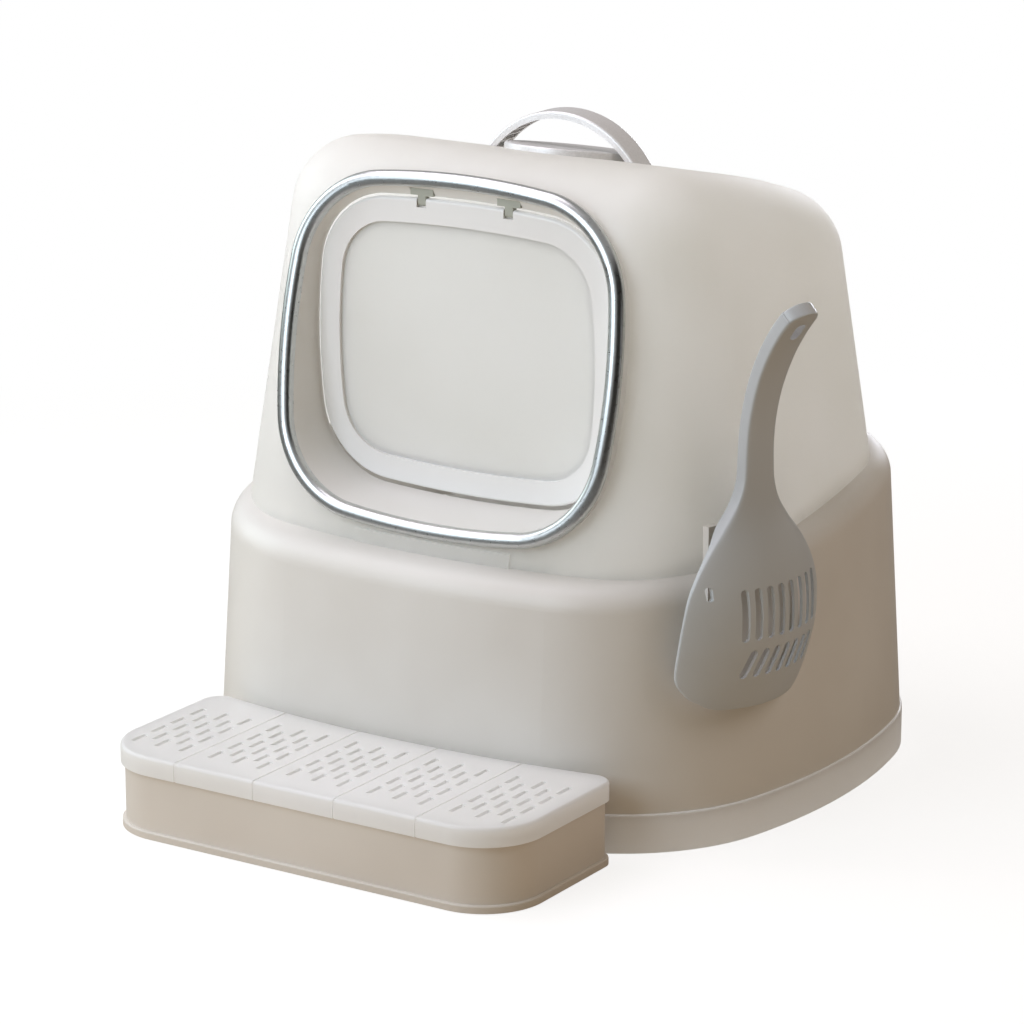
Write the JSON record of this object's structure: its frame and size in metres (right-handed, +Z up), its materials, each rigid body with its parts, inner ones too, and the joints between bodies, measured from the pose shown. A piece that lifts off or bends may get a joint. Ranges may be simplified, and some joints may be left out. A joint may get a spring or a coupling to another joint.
{
  "type": "covered litter box",
  "caption": "Covered litter box: tray, skirted lower shell, rounded hood with a chrome-trimmed flap entrance, roof handle over an odour filter, hanging scoop and a grated step.",
  "frame": {"origin": "on the floor under the middle of the litter tray", "axes": "+Z up, -Y to the front where the entrance and step are, +X to the right seen from the front"},
  "size_m": [0.4649, 0.5123, 0.4379],
  "materials": {
    "shell_plastic": "satin moulded",
    "tray_plastic": "satin moulded",
    "flap_plastic": "smooth",
    "frosted_plastic": "frosted",
    "trim_chrome": "satin plated",
    "pin_plastic": "smooth",
    "handle_plastic": "satin moulded",
    "carbon_felt": "felted",
    "step_plastic": "satin moulded",
    "grate_plastic": "translucent",
    "scoop_plastic": "satin moulded"
  },
  "bodies": {
    "tray": {"litter_tray": "tray_plastic"},
    "shell": {"lower_shell": "shell_plastic", "scoop_hook": "shell_plastic"},
    "hood_body": {"hood": "shell_plastic", "entrance_trim": "trim_chrome", "entrance_tunnel": "shell_plastic", "flap_hinge_pins": "pin_plastic", "handle": "handle_plastic", "filter_basket": "shell_plastic", "carbon_filter": "carbon_felt"},
    "flap": {"flap_frame": "flap_plastic", "flap_window": "frosted_plastic", "flap_retainer": "flap_plastic"},
    "cap": {"filter_cap": "handle_plastic"},
    "step": {"step_box": "step_plastic"},
    "grate": {"step_grate": "grate_plastic"},
    "scoop_body": {"scoop": "scoop_plastic"}
  },
  "joints": [
    {"name": "shell_lift", "type": "slide", "parent": "tray", "child": "shell", "axis": [0, 0, 1], "range_m": [0, 0.12]},
    {"name": "hood_lift", "type": "slide", "parent": "shell", "child": "hood_body", "axis": [0, 0, 1], "range_m": [0, 0.12]},
    {"name": "flap_swing", "type": "hinge", "parent": "hood_body", "child": "flap", "pos_m": [0, -0.1164, 0.39246], "axis": [1, 0, 0], "range_deg": [-45, 75]},
    {"name": "cap_twist", "type": "hinge", "parent": "hood_body", "child": "cap", "pos_m": [0, 0.005, 0.40596], "axis": [0, 0.165, 0.9863], "range_deg": [0, 40]},
    {"name": "step_slide", "type": "slide", "parent": "tray", "child": "step", "axis": [0, -1, 0], "range_m": [0, 0.15]},
    {"name": "grate_lift", "type": "slide", "parent": "step", "child": "grate", "axis": [0, 0, 1], "range_m": [0, 0.06]},
    {"name": "scoop_lift", "type": "slide", "parent": "shell", "child": "scoop_body", "axis": [0, 0, 1], "range_m": [0, 0.06]}
  ]
}
